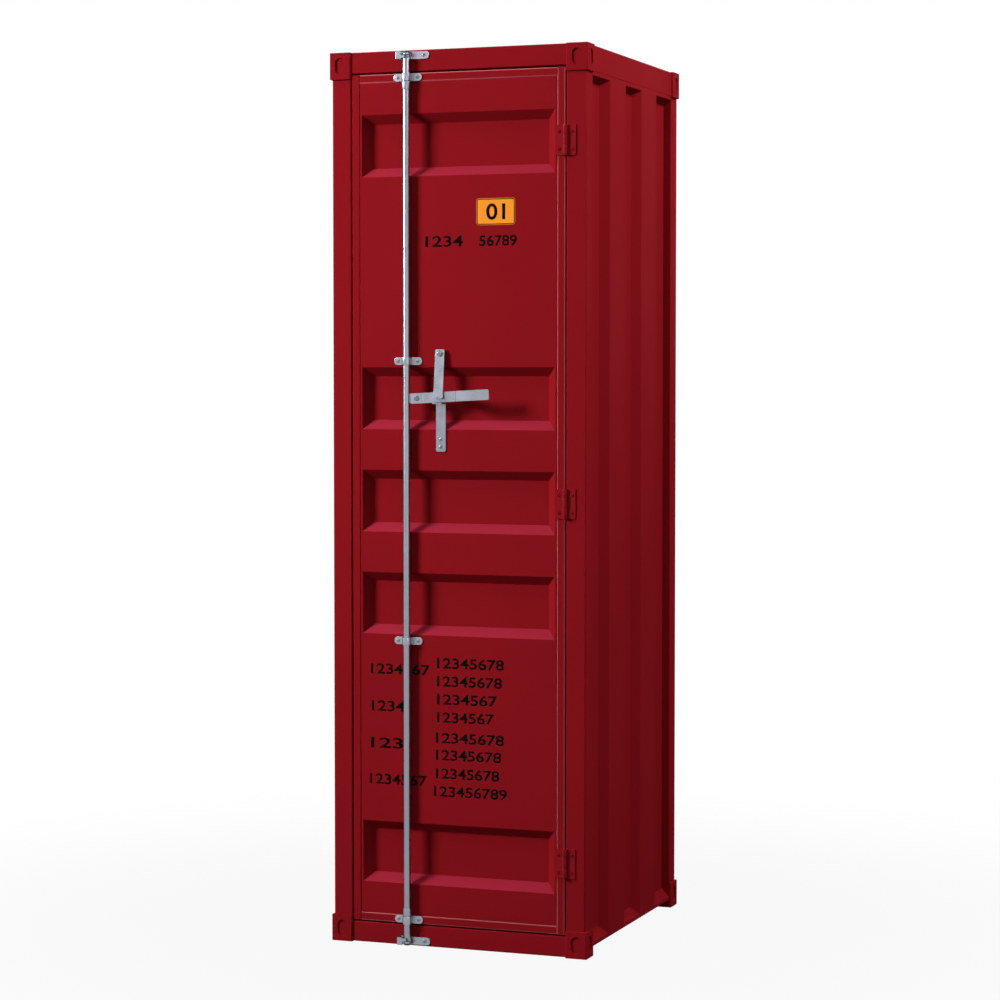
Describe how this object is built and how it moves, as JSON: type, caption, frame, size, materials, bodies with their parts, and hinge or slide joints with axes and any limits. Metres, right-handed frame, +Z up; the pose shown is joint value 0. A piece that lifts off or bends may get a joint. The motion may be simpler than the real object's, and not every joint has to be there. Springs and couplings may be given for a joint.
{
  "type": "metal wardrobe locker",
  "caption": "Tall container-style steel wardrobe locker with corner castings, corrugated walls, and a hinged door held by a full-height lock rod with swing handle, catch and keepers.",
  "frame": {"origin": "middle of the bounding box, on the floor that the bottom castings stand on", "axes": "+X to the right seen from the front, +Y to the back, +Z up; the door faces -Y"},
  "size_m": [0.635, 0.746, 2.083],
  "materials": {
    "red_paint": "satin",
    "zinc_steel": "satin",
    "cap_plastic": "matte",
    "sign_orange": "matte",
    "print_black": "matte"
  },
  "bodies": {
    "cabinet": {"casting_front_left_top": "red_paint", "casting_front_left_bottom": "red_paint", "casting_front_right_top": "red_paint", "casting_front_right_bottom": "red_paint", "casting_rear_left_top": "red_paint", "casting_rear_left_bottom": "red_paint", "casting_rear_right_top": "red_paint", "casting_rear_right_bottom": "red_paint", "post_front_left": "red_paint", "post_front_right": "red_paint", "post_rear_left": "red_paint", "post_rear_right": "red_paint", "header": "red_paint", "sill": "red_paint", "rear_rail_top": "red_paint", "rear_rail_bottom": "red_paint", "side_rail_left_top": "red_paint", "side_rail_left_bottom": "red_paint", "side_rail_right_top": "red_paint", "side_rail_right_bottom": "red_paint", "side_panel_left": "red_paint", "side_panel_right": "red_paint", "back_panel": "red_paint", "roof_panel": "red_paint", "floor_panel": "red_paint", "hat_shelf": "red_paint", "shelf_brackets": "red_paint", "hanging_rail": "zinc_steel", "door_stop": "red_paint", "rod_keeper_top": "zinc_steel", "rod_keeper_bottom": "zinc_steel", "hinge_frame_leaf_top": "red_paint", "hinge_frame_leaf_middle": "red_paint", "hinge_frame_leaf_bottom": "red_paint", "hinge_pins": "red_paint", "hinge_screws_frame": "red_paint", "keeper_screws": "zinc_steel"},
    "door": {"door_stile_lock": "red_paint", "door_stile_hinge": "red_paint", "door_rail_top": "red_paint", "door_rail_bottom": "red_paint", "door_panel": "red_paint", "hinge_door_leaf_top": "red_paint", "hinge_door_leaf_middle": "red_paint", "hinge_door_leaf_bottom": "red_paint", "rod_bracket_top": "zinc_steel", "rod_bracket_upper": "zinc_steel", "rod_bracket_lower": "zinc_steel", "rod_bracket_bottom": "zinc_steel", "hinge_screws_door": "red_paint", "lock_gear_screws": "zinc_steel", "handle_retainer": "zinc_steel", "catch_rivet": "zinc_steel"},
    "lock_rod": {"lock_rod": "zinc_steel", "rod_end_caps": "cap_plastic", "rod_collars": "zinc_steel", "handle_hub": "zinc_steel"},
    "handle": {"handle": "zinc_steel", "handle_rivet": "zinc_steel"},
    "catch": {"handle_catch": "zinc_steel"}
  },
  "joints": [
    {"name": "door_hinge", "type": "hinge", "parent": "cabinet", "child": "door", "pos_m": [0.26425, -0.3385, 1.04125], "axis": [0, 0, 1], "range_deg": [0, 165]},
    {"name": "rod_turn", "type": "hinge", "parent": "door", "child": "lock_rod", "pos_m": [-0.1218, -0.345, 1.28025], "axis": [0, 0, -1], "range_deg": [0, 90]},
    {"name": "handle_lift", "type": "hinge", "parent": "lock_rod", "child": "handle", "pos_m": [-0.0948, -0.3474, 1.28025], "axis": [0, -1, 0], "range_deg": [0, 8]},
    {"name": "catch_swing", "type": "hinge", "parent": "door", "child": "catch", "pos_m": [-0.04, -0.341, 1.38325], "axis": [0, 1, 0], "range_deg": [0, 37.5]}
  ]
}
